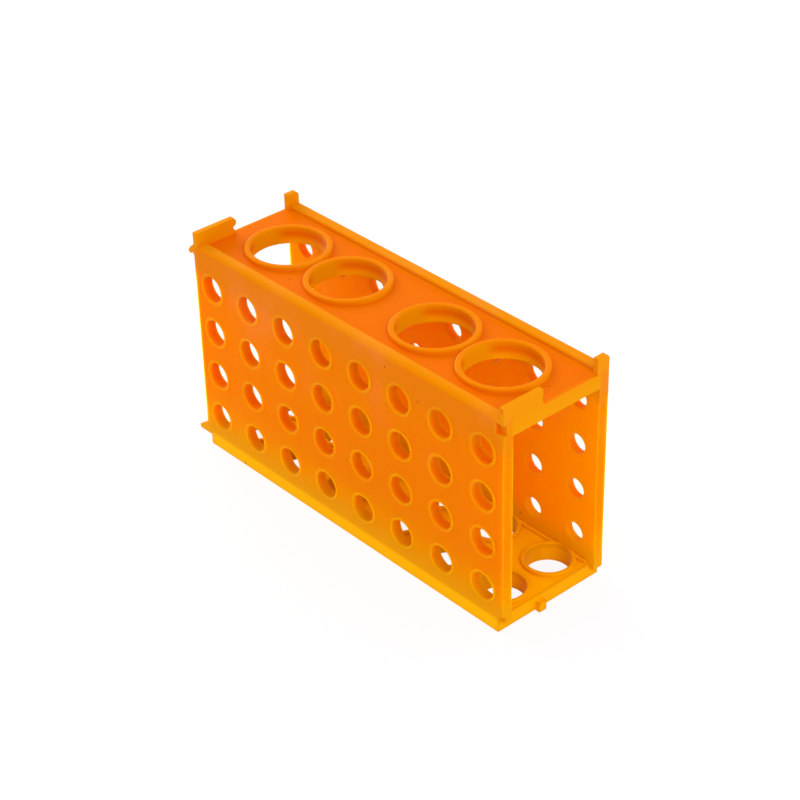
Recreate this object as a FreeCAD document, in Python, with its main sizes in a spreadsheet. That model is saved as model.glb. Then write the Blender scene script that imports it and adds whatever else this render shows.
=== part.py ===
"""Four-way test tube rack: four moulded polypropylene plates that clip together into a tunnel.

Each long face takes one size of tube: four 50 ml tubes in the top plate, twelve 15 ml tubes in the
bottom plate, thirty-two 1.5 ml tubes in the front panel and thirty-two 0.5 ml tubes in the back
panel. Both ends are open.

Frame, in millimetres: X along the rack, Y from front to back, +Z up. The origin is the middle of the
underside, so the rack stands on Z = 0.
"""
import FreeCAD, Part

import os
import Sketcher

# alias: (value, what it is). Every length is in millimetres.
SIZES = {
    "length": (176.4, "rack over the panel ends"),
    "depth": (52.8, "front face to back face"),
    "height": (94.9, "underside to the top edges of the panels"),
    "wall": (4.6, "front and back panels"),
    "lip": (2.2, "end lips that clip over the bottom plate"),
    "lip_drop": (1.8, "the lips below the bottom plate's upper face"),
    "base": (6.5, "bottom plate"),
    "top_round": (2.3, "outer top edge of the front panel"),
    "back_round": (0.8, "outer top edge of the back panel"),
    "top_ease": (1.0, "inner top edge of the panels"),
    "base_round": (0.4, "lower long edges of the bottom plate"),
    "deck_drop": (1.9, "top plate's surface below the panel edges"),
    "deck_web": (3.0, "top plate between its ribs"),
    "deck_rim": (6.1, "top plate over its rim ribs"),
    "deck_rib": (2.2, "rim ribs of the top plate, across"),
    "well_end": (10.57, "panel end to the middle of the first microtube column"),
    "well_foot": (10.825, "bottom plate to the middle of the lowest microtube row"),
    "well_head": (16.825, "top edges to the middle of the highest microtube row"),
    "large_well": (5.6, "radius of a 1.5 ml hole in the front panel"),
    "small_well": (4.05, "radius of a 0.5 ml hole in the back panel"),
    "rim": (1.35, "soft bead round the mouth of a 1.5 ml hole, across"),
    "rim_rise": (0.45, "that bead above the front face"),
    "dish": (2.5, "rounded mouth of a 0.5 ml hole, across"),
    "dish_depth": (1.7, "that mouth, into the panel"),
    "well_bevel": (0.35, "bevel round the inner end of a microtube hole"),
    "ring": (15.2, "radius of a 50 ml hole in the top plate"),
    "ring_wall": (2.5, "collar round a 50 ml hole"),
    "ring_drop": (5.9, "that collar below the top plate's surface"),
    "ring_pitch": (36.16, "50 ml holes within a pair"),
    "ring_end": (27.38, "panel end to the middle of the first 50 ml hole"),
    "ring_round": (0.7, "rounding of the collar rims"),
    "tube": (8.95, "radius of a 15 ml hole in the bottom plate"),
    "tube_wall": (1.8, "collar round a 15 ml hole"),
    "tube_rise": (1.5, "that collar above the bottom plate"),
    "tube_round": (0.6, "rounding of that collar's rim and of the rails"),
    "rail": (1.6, "low rails along the bottom plate's long edges, past the panels"),
    "tube_end": (12.3, "bottom plate's end to the middle of the first 15 ml column"),
    "tube_inset": (0.75, "15 ml holes in from the panels' inner faces"),
    "ear_rise": (7.0, "end ears above the top plate's surface"),
    "ear_reach": (18.5, "front ears, from the front face inwards"),
    "post_reach": (5.9, "back ears, from the back face inwards"),
    "post_slope": (1.2, "bevel on the outer top corner of the back ears"),
    "nose": (1.6, "nose on the inner end of the front ears"),
    "nose_low": (4.0, "foot of that nose above the top plate's surface"),
    "nose_high": (5.6, "top of that nose above the top plate's surface"),
    "nose_back": (0.6, "top of the ear past its stem, along Y"),
    "ear_foot": (1.5, "flare at the ear's foot, along Y"),
    "ear_round": (1.5, "outer corner at the inner end of the front ears"),
    "ear_slot": (1.4, "slot in the front edge of the right front ear"),
    "ear_slot_skin": (0.7, "ear left outside that slot, along X"),
    "ear_slot_low": (4.1, "foot of that slot above the top plate's surface"),
    "ear_slot_high": (6.4, "top of that slot above the top plate's surface"),
    "catch": (1.5, "end catches, along Y"),
    "catch_fit": (0.15, "clearance of the sockets round the catches"),
    "hook_reach": (3.9, "upper catch past the panel end"),
    "hook_top": (0.3, "root of the upper catch below the panel's top edge"),
    "hook_slope": (2.3, "upper catch's sloping back, along X"),
    "hook_fall": (1.9, "upper catch's sloping back, down"),
    "hook_nose": (2.3, "upper catch's nose below that slope"),
    "hook_point": (0.8, "upper catch's point below its nose"),
    "hook_throat": (1.3, "throat of the upper catch, along X"),
    "hook_throat_rise": (1.4, "throat above the point"),
    "block_reach": (5.4, "lower catch past the panel end"),
    "block_height": (5.4, "lower catch at the panel"),
    "block_tip": (1.7, "lower catch at its tip"),
    "socket_height": (4.6, "upper socket"),
    "notch": (1.7, "lower socket in from the panel end"),
    "notch_height": (3.0, "lower socket"),
    "tongue": (3.6, "tongue on each end of the bottom plate, along Y"),
    "tongue_height": (4.0, "that tongue"),
    "tongue_middle": (5.15, "that tongue ahead of the rack's middle"),
}
WELL_COLUMNS = 8
WELL_ROWS = 4
TUBE_COLUMNS = 6
TUBE_ROWS = 2
LEAST_CHANGE = 0.05  # mm3, less than any feature adds or takes away
NEAR = 0.01  # mm, for telling edges apart by where they lie
SHORT = 1.0  # mm, more than any edge across a rounding

doc = FreeCAD.newDocument("tube_rack")
sheet = doc.addObject("Spreadsheet::Sheet", "sizes")
for row, (alias, (value, meaning)) in enumerate(SIZES.items(), start=1):
    sheet.set("A%d" % row, meaning)
    sheet.set("B%d" % row, str(value))
    sheet.setAlias("B%d" % row, alias)
doc.recompute()


def bound(expression):
    """The expression with each alias written as a cell of the sheet."""
    words = expression.replace("(", " ( ").replace(")", " ) ").split()
    return " ".join("sizes." + word if word in SIZES else word for word in words)


def number(expression):
    """The value that an expression of aliases has now."""
    result = sheet.evalExpression(bound(expression))
    return float(getattr(result, "Value", result))


def set_size(thing, prop, expression):
    thing.setExpression(prop, bound(expression))


def new_body(name):
    body = doc.addObject("PartDesign::Body", name)
    body.Label = name
    return body


def origin_item(body, role):
    return next(item for item in body.Origin.OriginFeatures if item.Role == role)


def new_sketch(body, name, role, offset="0", across="0"):
    """A sketch on one of the body's own origin planes, moved along its normal and along its own X."""
    sketch = body.newObject("Sketcher::SketchObject", name)
    sketch.AttachmentSupport = [(origin_item(body, role), "")]
    sketch.MapMode = "FlatFace"
    set_size(sketch, "AttachmentOffset.Base.z", offset)
    set_size(sketch, "AttachmentOffset.Base.x", across)
    return sketch


def fix_point(sketch, geometry, point, across, up):
    """Hold one point of the sketch at two expressions from the sketch's origin."""
    for kind, expression in (("DistanceX", across), ("DistanceY", up)):
        index = sketch.addConstraint(
            Sketcher.Constraint(kind, -1, 1, geometry, point, number(expression))
        )
        set_size(sketch, "Constraints[%d]" % index, expression)


def draw_path(sketch, steps):
    """A closed outline. Each step is a corner (across, up) and what leads from it to the next one.

    That is None for a straight run, or the centre (across, up) and radius of an arc, which goes the
    short way round. A sketch keeps every arc anticlockwise, whichever way the outline runs.
    """
    first = sketch.GeometryCount
    ends = []
    for (across, up, bend), (next_across, next_up, _) in zip(steps, steps[1:] + steps[:1]):
        start = FreeCAD.Vector(number(across), number(up), 0)
        end = FreeCAD.Vector(number(next_across), number(next_up), 0)
        if bend is None:
            sketch.addGeometry(Part.LineSegment(start, end), False)
            ends.append((1, 2))
            continue
        centre = FreeCAD.Vector(number(bend[0]), number(bend[1]), 0)
        circle = Part.Circle(centre, FreeCAD.Vector(0, 0, 1), number(bend[2]))
        anticlockwise = (start - centre).cross(end - centre).z > 0
        from_to = (start, end) if anticlockwise else (end, start)
        angles = [circle.parameter(point) for point in from_to]
        arc = sketch.addGeometry(Part.ArcOfCircle(circle, *angles), False)
        index = sketch.addConstraint(Sketcher.Constraint("Radius", arc, circle.Radius))
        set_size(sketch, "Constraints[%d]" % index, bend[2])
        ends.append((1, 2) if anticlockwise else (2, 1))
    for step, (across, up, _) in enumerate(steps):
        after = (step + 1) % len(steps)
        meeting = (first + step, ends[step][1], first + after, ends[after][0])
        sketch.addConstraint(Sketcher.Constraint("Coincident", *meeting))
        fix_point(sketch, first + step, ends[step][0], across, up)


def draw_outline(sketch, corners):
    """A closed outline of straight lines through corners, each a pair of expressions."""
    draw_path(sketch, [(across, up, None) for across, up in corners])


def draw_box(sketch, left, low, right, high):
    draw_outline(sketch, [(left, low), (right, low), (right, high), (left, high)])


def draw_circle(sketch, across, up, radius):
    middle = FreeCAD.Vector(number(across), number(up), 0)
    circle = sketch.addGeometry(Part.Circle(middle, FreeCAD.Vector(0, 0, 1), number(radius)), False)
    index = sketch.addConstraint(Sketcher.Constraint("Radius", circle, number(radius)))
    set_size(sketch, "Constraints[%d]" % index, radius)
    fix_point(sketch, circle, 3, across, up)


def add_feature(body, kind, name, sketch, **settings):
    """Add a feature made from the sketch; one that cuts has to take material away, others add some."""
    doc.recompute()
    before = body.Shape.Volume if not body.Shape.isNull() else 0.0
    feature = body.newObject("PartDesign::" + kind, name)
    feature.Profile = sketch
    for prop, value in settings.items():
        if prop == "Length":
            set_size(feature, prop, value)
        else:
            setattr(feature, prop, value)
    body.Tip = feature
    doc.recompute()
    gain = body.Shape.Volume - before
    if (-gain if kind in ("Pocket", "Groove") else gain) < LEAST_CHANGE:
        raise RuntimeError("%s did nothing" % name)
    return feature


def extrude(body, kind, name, sketch, length, backwards=False):
    return add_feature(body, kind, name, sketch, Length=length, Reversed=backwards)


def turn(body, kind, name, sketch):
    """Turn the sketch right round its own vertical axis."""
    return add_feature(body, kind, name, sketch, ReferenceAxis=(sketch, ["V_Axis"]), Angle=360)


def repeat(body, name, feature, runs):
    """Copy a feature along the body's axes; runs holds (axis, length, copies) for each direction."""
    grid = body.newObject("PartDesign::MultiTransform", name)
    grid.Originals = [feature]
    steps = []
    for axis, length, copies in runs:
        step = body.newObject("PartDesign::LinearPattern", "%s_%s" % (name, axis[0].lower()))
        step.Direction = (origin_item(body, axis), [""])
        set_size(step, "Length", length)
        step.Occurrences = copies
        steps.append(step)
    grid.Transformations = steps
    body.Tip = grid
    doc.recompute()
    return grid


def break_edges(body, name, radius, wanted):
    """Round every edge of the body's present shape that wanted(edge) picks."""
    doc.recompute()
    base = body.Tip
    edges = ["Edge%d" % (i + 1) for i, edge in enumerate(base.Shape.Edges) if wanted(edge)]
    fillet = body.newObject("PartDesign::Fillet", name)
    fillet.Base = (base, edges)
    set_size(fillet, "Radius", radius)
    body.Tip = fillet
    doc.recompute()
    return fillet


def at_height(low, high):
    """True for an edge that lies level between two heights."""
    return lambda edge: low <= edge.BoundBox.ZMin and edge.BoundBox.ZMax <= high


def inwards(face, inside):
    """The sign of the way along a sketch's vertical axis from a panel's face to its inside."""
    return "+" if number(inside) > number(face) else "-"


def draw_well(sketch, radius, face, inside, dished):
    """Half section of a microtube hole: a bevelled inner end, and a plain or a dished mouth.

    face and inside are the two surfaces of the panel, along the sketch's vertical axis. The dish is an
    arc that leaves the face smoothly.
    """
    sign = inwards(face, inside)
    mouth = [(radius, face, None)]
    if dished:
        edge = "( %s + dish )" % radius
        bend = "( ( dish * dish + dish_depth * dish_depth ) / ( 2 * dish_depth ) )"
        centre = "( %s %s %s )" % (face, sign, bend)
        mouth = [
            (radius, "( %s %s dish_depth )" % (face, sign), (edge, centre, bend)),
            (edge, face, None),
        ]
    bore = [
        ("0", face, None),
        ("0", inside, None),
        ("( %s + well_bevel )" % radius, inside, None),
        (radius, "( %s %s ( 0 - well_bevel ) )" % (inside, sign), None),
    ]
    draw_path(sketch, bore + mouth)


def draw_rim(sketch, radius, face, inside):
    """Half section of the bead round a microtube hole: a low arc that stands on the panel's face."""
    bend = "( ( rim * rim / 4 + rim_rise * rim_rise ) / ( 2 * rim_rise ) )"
    centre = "( %s %s ( %s - rim_rise ) )" % (face, inwards(face, inside), bend)
    draw_path(
        sketch,
        [
            (radius, face, None),
            ("( %s + rim )" % radius, face, ("( %s + rim / 2 )" % radius, centre, bend)),
        ],
    )


def draw_collar(sketch, inner, outer, low, high, rounding, foot_rounded):
    """Half section of a collar with rounded upper corners, and rounded lower ones where asked."""
    left, right = "( %s + %s )" % (inner, rounding), "( %s - %s )" % (outer, rounding)
    up, down = "( %s + %s )" % (low, rounding), "( %s - %s )" % (high, rounding)
    foot = [(inner, low, None), (outer, low, None)]
    if foot_rounded:
        foot = [
            (inner, up, (left, up, rounding)),
            (left, low, None),
            (right, low, (right, up, rounding)),
            (outer, up, None),
        ]
    head = [
        (outer, down, (right, down, rounding)),
        (right, high, None),
        (left, high, (left, down, rounding)),
        (inner, down, None),
    ]
    draw_path(sketch, foot + head)


END = "( length / 2 )"
FRONT = "( 0 - depth / 2 )"
BACK = "( depth / 2 )"
DECK = "( height - deck_drop )"
LIP_FOOT = "( base - lip_drop )"
WELL_SPAN = "( length - 2 * well_end )"
WELL_RISE = "( height - base - well_foot - well_head )"


def add_wall(body, face, inside, rounding):
    """The flat panel from the bottom plate up, with its rounded top edges and its end lips."""
    profile = new_sketch(body, body.Label + "_section", "YZ_Plane", "0 - " + END)
    draw_box(profile, face, "base", inside, "height")
    extrude(body, "Pad", body.Label + "_wall", profile, "length")
    outer, inner, top = number(face), number(inside), number("height")

    def along_top(place):
        def wanted(edge):
            box = edge.BoundBox
            return box.XLength > SHORT and abs(box.ZMin - top) < NEAR and abs(box.YMin - place) < NEAR
        return wanted

    break_edges(body, body.Label + "_top_round", rounding, along_top(outer))
    break_edges(body, body.Label + "_top_ease", "top_ease", along_top(inner))
    for side, start in (("left", "0 - " + END), ("right", "( %s - lip )" % END)):
        lip = new_sketch(body, "%s_%s_lip" % (body.Label, side), "YZ_Plane", start)
        draw_box(lip, face, LIP_FOOT, inside, "base")
        extrude(body, "Pad", "%s_%s_lip_pad" % (body.Label, side), lip, "lip")


def add_wells(body, radius, face, inside, rimmed):
    """The grid of microtube holes: a turned cut and its copies, after their beads where rimmed."""
    start = "0 - %s / 2" % WELL_SPAN
    runs = [("X_Axis", WELL_SPAN, WELL_COLUMNS), ("Z_Axis", WELL_RISE, WELL_ROWS)]
    if rimmed:
        bead = new_sketch(body, body.Label + "_rim", "XY_Plane", "base + well_foot", start)
        draw_rim(bead, radius, face, inside)
        repeat(body, body.Label + "_rims", turn(body, "Revolution", body.Label + "_first_rim", bead), runs)
    section = new_sketch(body, body.Label + "_well", "XY_Plane", "base + well_foot", start)
    draw_well(section, radius, face, inside, not rimmed)
    repeat(body, body.Label + "_wells", turn(body, "Groove", body.Label + "_first_well", section), runs)


def make_front_panel():
    """Front panel: the 1.5 ml face, with long end ears over the top plate and end catches."""
    body = new_body("front_panel")
    inside = "( %s + wall )" % FRONT
    add_wall(body, FRONT, inside, "top_round")
    ear_top = "( %s + ear_rise )" % DECK
    ear_end = "( %s + ear_reach )" % FRONT
    shoulder = "( height - top_round )"
    root = [(inside, DECK), (inside, shoulder), (FRONT, shoulder), (FRONT, ear_top)]
    inner_end = [
        ("( %s + nose_back )" % ear_end, ear_top),
        ("( %s + nose )" % ear_end, "( %s + nose_high )" % DECK),
        ("( %s + nose )" % ear_end, "( %s + nose_low )" % DECK),
        (ear_end, "( %s + nose_low - nose + nose_back )" % DECK),
        ("( %s + ear_foot )" % ear_end, DECK),
    ]
    for side, start in (("left", "0 - " + END), ("right", "( %s - lip )" % END)):
        ear = new_sketch(body, "%s_ear" % side, "YZ_Plane", start)
        draw_outline(ear, root + inner_end)
        extrude(body, "Pad", "%s_ear_pad" % side, ear, "lip")
    nose_at, deck = number("%s + nose" % ear_end), number(DECK)

    def nose_corner(edge):
        box = edge.BoundBox
        upright = box.ZLength > SHORT and box.XLength < NEAR and box.YLength < NEAR
        outside = abs(abs(box.XMin) - number(END)) < NEAR
        return upright and outside and abs(box.YMin - nose_at) < NEAR and box.ZMin > deck

    break_edges(body, "nose_rounds", "ear_round", nose_corner)
    slot = new_sketch(body, "ear_slot", "YZ_Plane", "( %s - ear_slot_skin )" % END)
    draw_box(
        slot,
        FRONT,
        "( %s + ear_slot_low )" % DECK,
        "( %s + ear_slot )" % FRONT,
        "( %s + ear_slot_high )" % DECK,
    )
    extrude(body, "Pocket", "ear_slot_cut", slot, "lip - ear_slot_skin")
    add_end_catches(body)
    add_wells(body, "large_well", FRONT, inside, True)
    return body


def add_end_catches(body):
    """Catches on the left end of the front panel, and the sockets they meet on the next rack."""
    root = "( 0 - %s )" % END
    hook_top = "( height - hook_top )"
    slope_end = "( %s - hook_fall )" % hook_top
    nose = "( %s - hook_nose )" % slope_end
    point = "( %s - hook_point )" % nose
    hook = new_sketch(body, "upper_catch", "XZ_Plane", BACK)
    draw_outline(
        hook,
        [
            (root, hook_top),
            ("( %s - hook_slope )" % root, slope_end),
            ("( %s - hook_reach )" % root, nose),
            ("( %s - hook_slope )" % root, point),
            ("( %s - hook_throat )" % root, "( %s + hook_throat_rise )" % point),
            (root, point),
        ],
    )
    extrude(body, "Pad", "upper_catch_pad", hook, "catch", True)
    block = new_sketch(body, "lower_catch", "XZ_Plane", BACK)
    draw_outline(
        block,
        [
            (root, LIP_FOOT),
            (root, "( %s + block_height )" % LIP_FOOT),
            ("( %s - block_reach )" % root, "( %s + block_tip )" % LIP_FOOT),
            ("( %s - block_reach )" % root, LIP_FOOT),
        ],
    )
    extrude(body, "Pad", "lower_catch_pad", block, "catch", True)
    socket = new_sketch(body, "upper_socket", "XZ_Plane", BACK)
    socket_depth = "( %s - hook_reach - catch_fit )" % END
    socket_top = "( %s + catch_fit )" % slope_end
    draw_box(socket, socket_depth, "( %s - socket_height )" % socket_top, END, socket_top)
    extrude(body, "Pocket", "upper_socket_cut", socket, "catch + catch_fit")
    notch = new_sketch(body, "lower_socket", "XZ_Plane", BACK)
    draw_box(notch, "( %s - notch )" % END, LIP_FOOT, END, "( %s + notch_height )" % LIP_FOOT)
    extrude(body, "Pocket", "lower_socket_cut", notch, "catch + catch_fit")


def make_back_panel():
    """Back panel: the 0.5 ml face, with short end ears beside the top plate."""
    body = new_body("back_panel")
    inside = "( %s - wall )" % BACK
    add_wall(body, BACK, inside, "back_round")
    ear_top = "( %s + ear_rise )" % DECK
    ear_end = "( %s - post_reach )" % BACK
    shoulder = "( height - back_round - top_ease )"
    outline = [
        (inside, DECK),
        (inside, shoulder),
        (BACK, shoulder),
        (BACK, "( %s - post_slope )" % ear_top),
        ("( %s - post_slope )" % BACK, ear_top),
        (ear_end, ear_top),
        (ear_end, DECK),
    ]
    for side, start in (("left", "0 - " + END), ("right", "( %s - lip )" % END)):
        ear = new_sketch(body, "%s_post" % side, "YZ_Plane", start)
        draw_outline(ear, outline)
        extrude(body, "Pad", "%s_post_pad" % side, ear, "lip")
    add_wells(body, "small_well", BACK, inside, False)
    return body


def ring_places():
    """The 50 ml holes, from left to right: two pairs about the rack's middle."""
    far = "( %s - ring_end )" % END
    near = "( %s - ring_pitch )" % far
    return ["( 0 - %s )" % far, "( 0 - %s )" % near, near, far]


def make_top_plate():
    """Top plate: the 50 ml face, a ribbed web between the panels with a tall collar round each hole."""
    body = new_body("top_plate")
    front, back = "( %s + wall )" % FRONT, "( %s - wall )" % BACK
    left = "( 0 - %s )" % END
    web = new_sketch(body, "web", "XY_Plane", "%s - deck_web" % DECK)
    draw_box(web, left, front, END, back)
    extrude(body, "Pad", "web_pad", web, "deck_web")
    ribs = new_sketch(body, "rim_ribs", "XY_Plane", "%s - deck_rim" % DECK)
    draw_box(ribs, left, front, END, back)
    draw_box(
        ribs,
        "( %s + deck_rib )" % left,
        "( %s + deck_rib )" % front,
        "( %s - deck_rib )" % END,
        "( %s - deck_rib )" % back,
    )
    extrude(body, "Pad", "rim_ribs_pad", ribs, "deck_rim - deck_web")
    foot = "( %s - ring_drop )" % DECK
    for index, place in enumerate(ring_places(), start=1):
        collar = new_sketch(body, "collar_%d" % index, "XZ_Plane", "0", place)
        draw_collar(collar, "ring", "( ring + ring_wall )", foot, "height", "ring_round", True)
        turn(body, "Revolution", "collar_turned_%d" % index, collar)
    holes = new_sketch(body, "holes", "XY_Plane", "height")
    for place in ring_places():
        draw_circle(holes, place, "0", "ring")
    extrude(body, "Pocket", "holes_cut", holes, "ring_drop + deck_drop")
    return body


def make_bottom_plate():
    """Bottom plate: the 15 ml face, a slab under both panels with a low collar round each hole."""
    body = new_body("bottom_plate")
    end = "( %s - lip )" % END
    slab = new_sketch(body, "slab", "XY_Plane")
    draw_box(slab, "( 0 - %s )" % end, FRONT, end, BACK)
    extrude(body, "Pad", "slab_pad", slab, "base")
    break_edges(body, "slab_round", "base_round", at_height(-NEAR, NEAR))
    rail_end = "( %s - tube_rise )" % end
    for side, wall, inner in (
        ("front", "( %s + wall )" % FRONT, "( %s + wall + rail )" % FRONT),
        ("back", "( %s - wall - rail )" % BACK, "( %s - wall )" % BACK),
    ):
        rail = new_sketch(body, "%s_rail" % side, "XY_Plane", "base")
        draw_box(rail, "( 0 - %s )" % rail_end, wall, rail_end, inner)
        extrude(body, "Pad", "%s_rail_pad" % side, rail, "tube_rise")
    rail_top = number("base + tube_rise")
    break_edges(body, "rail_rounds", "tube_round", at_height(rail_top - NEAR, rail_top + NEAR))
    low, high = "( 0 - tongue_middle - tongue / 2 )", "( 0 - tongue_middle + tongue / 2 )"
    for side, start in (("left", "0 - " + END), ("right", end)):
        tongue = new_sketch(body, "%s_tongue" % side, "YZ_Plane", start)
        draw_box(tongue, low, "0", high, "tongue_height")
        extrude(body, "Pad", "%s_tongue_pad" % side, tongue, "lip")
    reach = "( %s - tube_end )" % end
    row = "( depth / 2 - wall - tube_inset - tube )"
    runs = [("X_Axis", "2 * %s" % reach, TUBE_COLUMNS), ("Y_Axis", "2 * %s" % row, TUBE_ROWS)]
    top = "( base + tube_rise )"
    collar = new_sketch(body, "tube_collar", "XZ_Plane", row, "0 - " + reach)
    draw_collar(collar, "tube", "( tube + tube_wall )", "base", top, "tube_round", False)
    repeat(body, "tube_collars", turn(body, "Revolution", "tube_collar_turned", collar), runs)
    hole = new_sketch(body, "tube_hole", "XY_Plane", top)
    draw_circle(hole, "( 0 - %s )" % reach, "( 0 - %s )" % row, "tube")
    repeat(body, "tube_holes", extrude(body, "Pocket", "tube_hole_cut", hole, top), runs)
    seats = new_sketch(body, "panel_seats", "XY_Plane", "base + tube_rise")
    draw_box(seats, "( 0 - %s )" % end, FRONT, end, "( %s + wall )" % FRONT)
    draw_box(seats, "( 0 - %s )" % end, "( %s - wall )" % BACK, end, BACK)
    extrude(body, "Pocket", "panel_seats_cut", seats, "tube_rise")
    return body


bodies = [make_front_panel(), make_back_panel(), make_top_plate(), make_bottom_plate()]
doc.recompute()
for item in doc.Objects:
    if "Invalid" in item.State or "Error" in item.State:
        raise RuntimeError("%s failed: %s" % (item.Label, item.State))
os.makedirs("parts", exist_ok=True)
for body in bodies:
    shape = body.Shape
    if shape.isNull() or not shape.isValid() or len(shape.Solids) != 1:
        raise RuntimeError("%s is not one valid solid" % body.Label)
    shape.exportStep("parts/%s.step" % body.Label)
    print("%-14s %8.1f mm3  %s" % (body.Label, shape.Volume, shape.BoundBox))
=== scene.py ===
"""The four-way tube rack as it looks: translucent orange polypropylene on a white studio floor."""
import math

import bpy
from mathutils import Matrix, Vector


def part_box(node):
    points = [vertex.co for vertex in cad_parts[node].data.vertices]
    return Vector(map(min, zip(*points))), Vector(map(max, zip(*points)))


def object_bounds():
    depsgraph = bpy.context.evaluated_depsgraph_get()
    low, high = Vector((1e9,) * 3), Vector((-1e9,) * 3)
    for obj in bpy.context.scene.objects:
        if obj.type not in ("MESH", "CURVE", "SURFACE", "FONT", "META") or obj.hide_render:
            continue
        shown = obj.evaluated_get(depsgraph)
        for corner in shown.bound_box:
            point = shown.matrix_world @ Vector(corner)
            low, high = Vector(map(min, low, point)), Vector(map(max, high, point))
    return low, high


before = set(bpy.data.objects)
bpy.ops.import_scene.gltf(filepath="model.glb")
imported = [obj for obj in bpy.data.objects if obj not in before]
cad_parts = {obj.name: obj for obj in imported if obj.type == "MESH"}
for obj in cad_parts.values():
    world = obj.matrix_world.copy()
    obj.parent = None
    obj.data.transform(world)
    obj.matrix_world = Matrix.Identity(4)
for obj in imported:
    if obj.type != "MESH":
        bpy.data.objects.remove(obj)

CAD_LOW, CAD_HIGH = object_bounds()
MM = 0.001

# Colours of the plastic, in linear light. The panels' orange and the dark specks are its own colour; the
# rest are painted light and painted shade.
ORANGE = (0.73, 0.18, 0.0, 1.0)      # flat faces of the two panels
SHADED_DECK_ORANGE = (0.74, 0.14, 0.0, 1.0)  # painted shade: flat faces of the top plate, redder as though lying in the panels' shade
FLOOR_LIT_ORANGE = (1.0, 0.48, 0.0, 1.0)         # painted light: flat faces of the bottom plate, yellowed as though lit by the white floor
HOLLOW_SHADE_RED = (1.0, 0.15, 0.0, 1.0)         # painted shade: hollows, where light crosses the plastic again and again
RIM_LIGHT = (0.74, 0.265, 0.0, 1.0)       # painted glow: thin parts, ends and edges, which let light through
FOOT_LIGHT = (0.82, 0.39, 0.0, 1.0)       # painted light: the foot of a plate, lit through from the floor
TUNNEL_LIGHT = (1.0, 0.42, 0.0, 1.0)         # painted light: all that lies in the tunnel, brightened as though lit through its walls
PAINTED_SHEEN = (0.86, 0.21, 0.060, 1.0)      # painted sheen: milky pink reflection patches
FLECK = (0.30, 0.02, 0.0, 1.0)       # dark specks

# How many features each pattern has in a metre of plastic.
# The same noise lays out the painted sheen patches and the roughness.
SHEEN_AND_ROUGHNESS_SCALE = 34.0
WAVE_SCALE = 48.0
GRAIN_SCALE = 1800.0
FLECK_SCALE = 70.0

# Where the plates lie: the top plate fills the space between the inner faces of the two panels.
BASE_LOW, BASE_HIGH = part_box("bottom_plate")
DECK_LOW, DECK_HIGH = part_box("top_plate")
FLOOR = CAD_LOW.z
FRONT_FACE = BASE_LOW.y
INNER_FACE = DECK_HIGH.y
MIDDLE = (FLOOR + DECK_HIGH.z) / 2

# The studio. The floor's white share is how much of it is seen as pure white, whatever falls on it.
WORLD_LIGHT = 0.84
FLOOR_COLOUR = (0.88, 0.88, 0.88, 1.0)
FLOOR_WHITE_SHARE = 0.88
FLOOR_SIZE = 6.0
LAMP_DISTANCE = 1.1

# The camera stands to the right of the front face and looks down on a point of that face.
CAMERA_AZIMUTH = math.radians(48.7608)
CAMERA_ELEVATION = math.radians(33.1765)
CAMERA_ROLL = math.radians(-1.3846)
CAMERA_DISTANCE = 0.788316
CAMERA_AIM = Vector((0.033997, FRONT_FACE, 0.078397))
CAMERA_LENS = 97.035
CAMERA_SENSOR = 36.0


class Shader:
    """Adds nodes one at a time to a material or to the world, in place of what it held."""

    def __init__(self, owner):
        owner.use_nodes = True
        self.tree = owner.node_tree
        self.tree.nodes.clear()

    def add(self, kind, **settings):
        node = self.tree.nodes.new("ShaderNode" + kind)
        for name, value in settings.items():
            setattr(node, name, value)
        return node

    def join(self, output, socket):
        self.tree.links.new(output, socket)

    def fill(self, socket, value):
        """Put a number, a colour or another node's output into a socket."""
        if isinstance(value, bpy.types.NodeSocket):
            self.join(value, socket)
        else:
            socket.default_value = value

    def axis(self, vector, letter):
        """One component of a vector: X, Y or Z."""
        node = self.add("SeparateXYZ")
        self.join(vector, node.inputs[0])
        return node.outputs[letter]

    def math(self, operation, first, second=0.0):
        node = self.add("Math", operation=operation)
        self.fill(node.inputs[0], first)
        self.fill(node.inputs[1], second)
        return node.outputs[0]

    def ramp(self, value, low, high, at_low, at_high):
        """at_low below low, at_high above high, and an eased curve between them."""
        node = self.add("MapRange", interpolation_type="SMOOTHSTEP")
        self.fill(node.inputs["Value"], value)
        for socket, number in zip(node.inputs[1:5], (low, high, at_low, at_high)):
            socket.default_value = number
        return node.outputs["Result"]

    def rise(self, value, low, high, share=1.0):
        return self.ramp(value, low, high, 0.0, share)

    def fall(self, value, low, high, share=1.0):
        return self.ramp(value, low, high, share, 0.0)

    def mix(self, factor, first, second):
        node = self.add("Mix", data_type="RGBA")
        self.fill(node.inputs["Factor"], factor)
        colours = [socket for socket in node.inputs if socket.type == "RGBA"]
        self.fill(colours[0], first)
        self.fill(colours[1], second)
        return next(socket for socket in node.outputs if socket.type == "RGBA")

    def noise(self, place, scale, detail=2.0):
        node = self.add("TexNoise")
        self.join(place, node.inputs["Vector"])
        node.inputs["Scale"].default_value = scale
        node.inputs["Detail"].default_value = detail
        return node.outputs["Fac"]

    def openness(self, distance):
        """1 where nothing stands within the distance outside the surface, and low in a hollow."""
        node = self.add("AmbientOcclusion", samples=8, inside=False, only_local=False)
        node.inputs["Distance"].default_value = distance
        return node.outputs["AO"]

    def thickness(self, distance):
        """1 where the plastic is deep behind the surface, and low at its edges and in thin parts."""
        node = self.add("AmbientOcclusion", samples=8, inside=True, only_local=True)
        node.inputs["Distance"].default_value = distance
        return node.outputs["AO"]

    def bump(self, height, depth, strength):
        node = self.add("Bump")
        self.join(height, node.inputs["Height"])
        node.inputs["Distance"].default_value = depth
        node.inputs["Strength"].default_value = strength
        return node


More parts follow.
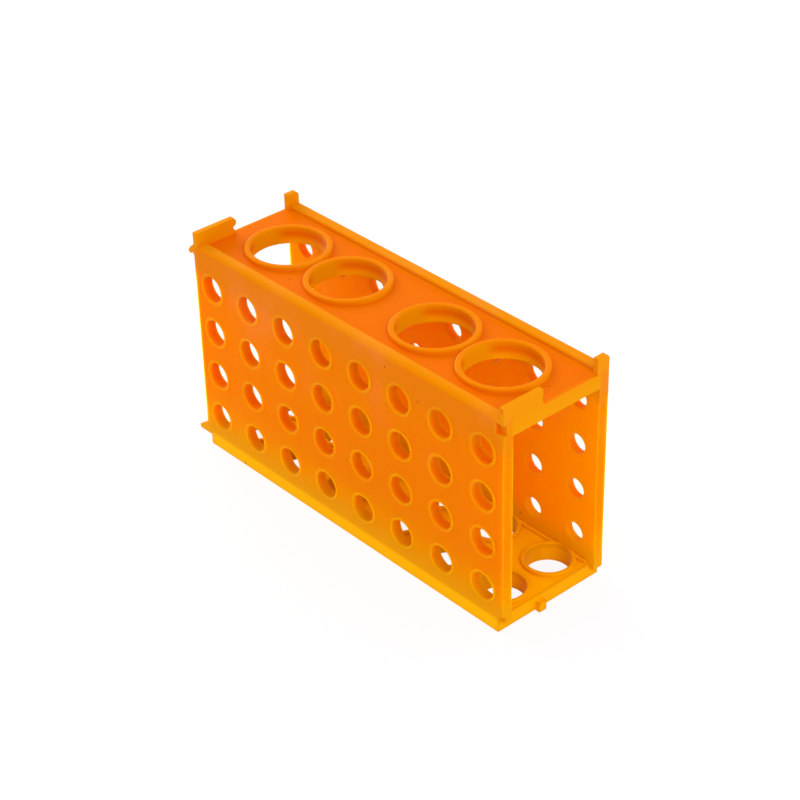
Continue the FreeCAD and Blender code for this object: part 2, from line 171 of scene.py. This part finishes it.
class Plastic(Shader):
    """What the plastic's nodes share, and its masks, which mostly place painted light and painted shade:
    each is 0 where its colour doesn't show.
    """

    def __init__(self, material):
        super().__init__(material)
        geometry = self.add("NewGeometry")
        self.place = geometry.outputs["Position"]
        self.normal = geometry.outputs["True Normal"]
        self.height = self.axis(self.place, "Z")
        self.flow = self.noise(self.place, SHEEN_AND_ROUGHNESS_SCALE, detail=3.0)

    def lit_tunnel(self):
        """Where painted light brightens the tunnel: all that lies between the panels' inner faces, from
        the floor to the top plate's underside.
        """
        across = self.math("ABSOLUTE", self.axis(self.place, "Y"))
        between = self.fall(across, INNER_FACE - 0.2 * MM, INNER_FACE + 0.3 * MM)
        below = self.fall(self.height, DECK_LOW.z, DECK_LOW.z + 5 * MM)
        return self.math("MULTIPLY", between, below)

    def sheen_patches(self, share):
        """Painted sheen: pinkish reflection patches, in the upper half of a panel."""
        upper = self.rise(self.height, MIDDLE, MIDDLE + 30 * MM)
        return self.math("MULTIPLY", self.rise(self.flow, 0.48, 0.68, share), upper)

    def glowing_thin_parts(self):
        """Painted glow on rims, ribs and whatever else lies within a few millimetres of an edge."""
        return self.fall(self.thickness(3 * MM), 0.35, 0.95, 0.60)

    def lit_ends(self, share):
        """Painted light on faces that look along the rack: its two ends, and the sides of the holes."""
        facing = self.math("ABSOLUTE", self.axis(self.normal, "X"))
        return self.math("MULTIPLY", self.rise(facing, 0.80, 0.98), share)

    def highlit_crest(self, share):
        """Painted highlight on the last millimetres below the top of the deck, and all above it."""
        return self.rise(self.height, DECK_HIGH.z - 2.5 * MM, DECK_HIGH.z, share)

    def floor_lit_foot(self, reach, share):
        """Painted floor light, as far up from the floor as that light reaches."""
        return self.fall(self.height, FLOOR, FLOOR + reach, share)

    def shaded_hollows(self):
        """Painted shade in holes and corners, where walls face each other closely."""
        return self.fall(self.openness(6 * MM), 0.10, 0.65)

    def edge_highlights(self, shaded_hollows):
        """A painted highlight line along each outer edge, which fades down in the painted shade of the
        hollows.
        """
        edges = self.fall(self.thickness(0.9 * MM), 0.45, 0.90)
        return self.math("MULTIPLY", edges, self.fall(shaded_hollows, 0.0, 0.7, 0.65))

    def flecks(self):
        """A few dark specks about a millimetre across, as moulded plastic has."""
        cells = self.add("TexVoronoi", feature="F1")
        self.join(self.place, cells.inputs["Vector"])
        cells.inputs["Scale"].default_value = FLECK_SCALE
        return self.fall(cells.outputs["Distance"], 0.018, 0.040, 0.75)

    def relief(self):
        """Moulding waves with a fine grain on them, as a normal."""
        waves = self.bump(self.noise(self.place, WAVE_SCALE), 0.8 * MM, 0.45)
        grain = self.bump(self.noise(self.place, GRAIN_SCALE), 0.03 * MM, 0.12)
        self.join(waves.outputs["Normal"], grain.inputs["Normal"])
        return grain.outputs["Normal"]

    def scatter(self):
        """How much light spreads inside. None does where plates meet: it would leave dark seams."""
        above_base = self.rise(self.height, BASE_HIGH.z, BASE_HIGH.z + 9 * MM, 0.9)
        below_deck = self.fall(self.height, DECK_LOW.z - 10 * MM, DECK_LOW.z - 2 * MM)
        return self.math("MULTIPLY", above_base, below_deck)


def polypropylene(name, plain, hollow_share, end_share, crest_share=0.0, sheen_share=0.0,
                  foot_share=0.0, foot_reach=10 * MM):
    """Moulded polypropylene, with painted shade that makes it redder in its hollows and painted light
    that makes it amber at thin edges and where the floor lights it.

    plain is the colour of its flat faces. Each share, from 0 to 1, is how strongly that part of it
    takes its painted light, shade and sheen, and foot_reach is how far up the painted floor light comes.
    """
    material = bpy.data.materials.new(name)
    plastic = Plastic(material)
    shaded_hollows = plastic.shaded_hollows()
    # Over the plain colour go painted light in the tunnel, painted sheen, painted glow on thin parts,
    # ends and crest, painted floor light at the foot, painted shade in the hollows and painted highlight
    # lines; only the dark specks are the plastic's own.
    colour = plastic.mix(plastic.lit_tunnel(), plain, TUNNEL_LIGHT)
    colour = plastic.mix(plastic.sheen_patches(sheen_share), colour, PAINTED_SHEEN)
    colour = plastic.mix(plastic.glowing_thin_parts(), colour, RIM_LIGHT)
    colour = plastic.mix(plastic.lit_ends(end_share), colour, RIM_LIGHT)
    colour = plastic.mix(plastic.highlit_crest(crest_share), colour, RIM_LIGHT)
    colour = plastic.mix(plastic.floor_lit_foot(foot_reach, foot_share), colour, FOOT_LIGHT)
    colour = plastic.mix(plastic.math("MULTIPLY", shaded_hollows, hollow_share), colour, HOLLOW_SHADE_RED)
    colour = plastic.mix(plastic.edge_highlights(shaded_hollows), colour, RIM_LIGHT)
    colour = plastic.mix(plastic.flecks(), colour, FLECK)
    surface = plastic.add("BsdfPrincipled")
    plastic.join(colour, surface.inputs["Base Color"])
    plastic.join(plastic.relief(), surface.inputs["Normal"])
    plastic.join(plastic.ramp(plastic.flow, 0.3, 0.7, 0.30, 0.42), surface.inputs["Roughness"])
    surface.inputs["Specular IOR Level"].default_value = 0.015
    surface.inputs["Specular Tint"].default_value = (1.0, 0.50, 0.25, 1.0)
    plastic.join(plastic.scatter(), surface.inputs["Subsurface Weight"])
    surface.inputs["Subsurface Radius"].default_value = (1.0, 0.25, 0.03)
    surface.inputs["Subsurface Scale"].default_value = 20 * MM
    output = plastic.add("OutputMaterial")
    plastic.join(surface.outputs[0], output.inputs["Surface"])
    return material


def seen_directly(shader):
    """1 for the rays that show the background to the camera, to gloss and through glass."""
    rays = shader.add("LightPath")
    seen = shader.math("MAXIMUM", rays.outputs["Is Camera Ray"], rays.outputs["Is Glossy Ray"])
    return shader.math("MAXIMUM", seen, rays.outputs["Is Transmission Ray"])


def make_floor():
    """A wide floor, seen as nearly pure white, that keeps the rack's shadow."""
    material = bpy.data.materials.new("studio_floor")
    shader = Shader(material)
    matt = shader.add("BsdfDiffuse")
    matt.inputs["Color"].default_value = FLOOR_COLOUR
    white = shader.add("Emission")
    white.inputs["Strength"].default_value = 1.0
    blend = shader.add("MixShader")
    shader.join(shader.math("MULTIPLY", seen_directly(shader), FLOOR_WHITE_SHARE), blend.inputs[0])
    shader.join(matt.outputs[0], blend.inputs[1])
    shader.join(white.outputs[0], blend.inputs[2])
    output = shader.add("OutputMaterial")
    shader.join(blend.outputs[0], output.inputs["Surface"])
    bpy.ops.mesh.primitive_plane_add(size=FLOOR_SIZE, location=(0, 0, FLOOR))
    floor = bpy.context.object
    floor.name = "floor"
    floor.data.materials.append(material)


def make_world():
    """Even light from all round, seen as plain white."""
    world = bpy.data.worlds.new("studio")
    bpy.context.scene.world = world
    shader = Shader(world)
    background = shader.add("Background")
    background.inputs["Color"].default_value = (1.0, 1.0, 1.0, 1.0)
    level = shader.add("MapRange")
    shader.join(seen_directly(shader), level.inputs["Value"])
    level.inputs["To Min"].default_value = WORLD_LIGHT
    level.inputs["To Max"].default_value = 1.0
    shader.join(level.outputs["Result"], background.inputs["Strength"])
    output = shader.add("OutputWorld")
    shader.join(background.outputs[0], output.inputs["Surface"])


def add_lamp(name, direction, size, power):
    """A square soft box that stands in a direction from the rack's middle and faces it."""
    data = bpy.data.lights.new(name, "AREA")
    data.size = size
    data.energy = power
    lamp = bpy.data.objects.new(name, data)
    bpy.context.scene.collection.objects.link(lamp)
    away = Vector(direction).normalized()
    lamp.location = (CAD_LOW + CAD_HIGH) / 2 + away * LAMP_DISTANCE
    lamp.rotation_mode = "QUATERNION"
    lamp.rotation_quaternion = away.to_track_quat("Z", "Y")


def make_lamps():
    add_lamp("front_box", direction=(-0.45, -1.0, 0.25), size=0.9, power=0.9)
    add_lamp("right_box", direction=(1.0, -0.30, 0.85), size=0.6, power=4.2)
    add_lamp("left_box", direction=(-1.0, 0.1, 0.30), size=0.8, power=11.0)
    add_lamp("back_box", direction=(0.2, 1.0, 0.45), size=0.9, power=2.0)


def make_camera():
    """A camera whose own axes are worked out from its azimuth, elevation and roll."""
    back = Vector((
        math.sin(CAMERA_AZIMUTH) * math.cos(CAMERA_ELEVATION),
        -math.cos(CAMERA_AZIMUTH) * math.cos(CAMERA_ELEVATION),
        math.sin(CAMERA_ELEVATION),
    ))
    level_right = (-back).cross(Vector((0, 0, 1))).normalized()
    level_up = level_right.cross(-back)
    right = level_right * math.cos(CAMERA_ROLL) + level_up * math.sin(CAMERA_ROLL)
    up = level_up * math.cos(CAMERA_ROLL) - level_right * math.sin(CAMERA_ROLL)
    data = bpy.data.cameras.new("camera")
    data.lens = CAMERA_LENS
    data.sensor_width = CAMERA_SENSOR
    camera = bpy.data.objects.new("camera", data)
    bpy.context.scene.collection.objects.link(camera)
    turned = Matrix((right, up, back)).transposed().to_4x4()
    camera.matrix_world = Matrix.Translation(CAMERA_AIM + back * CAMERA_DISTANCE) @ turned
    bpy.context.scene.camera = camera


def dress_nodes():
    """Each plate is moulded from the same plastic, with painted light and painted shade that stand in for
    how its thickness and place let light fall on it.
    """
    panels = polypropylene(
        "panel_moulding",
        ORANGE,
        hollow_share=0.80,
        end_share=0.20,
        crest_share=0.45,
        sheen_share=0.25,
        foot_share=0.60,
        foot_reach=34 * MM,
    )
    # The top plate's plain colour is painted shade.
    deck = polypropylene("top_plate_moulding", SHADED_DECK_ORANGE, hollow_share=0.45, end_share=0.95)
    # The bottom plate's plain colour is painted floor light.
    base = polypropylene(
        "bottom_plate_moulding",
        FLOOR_LIT_ORANGE,
        hollow_share=0.05,
        end_share=0.4,
        foot_share=0.35,
        foot_reach=16 * MM,
    )
    looks = {"front_panel": panels, "back_panel": panels, "top_plate": deck, "bottom_plate": base}
    for name, plastic in looks.items():
        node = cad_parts[name]
        for slot in node.material_slots:
            slot.link = "OBJECT"
            slot.material = plastic


make_world()
make_floor()
make_lamps()
make_camera()
dress_nodes()
bpy.context.scene.view_settings.view_transform = "Standard"
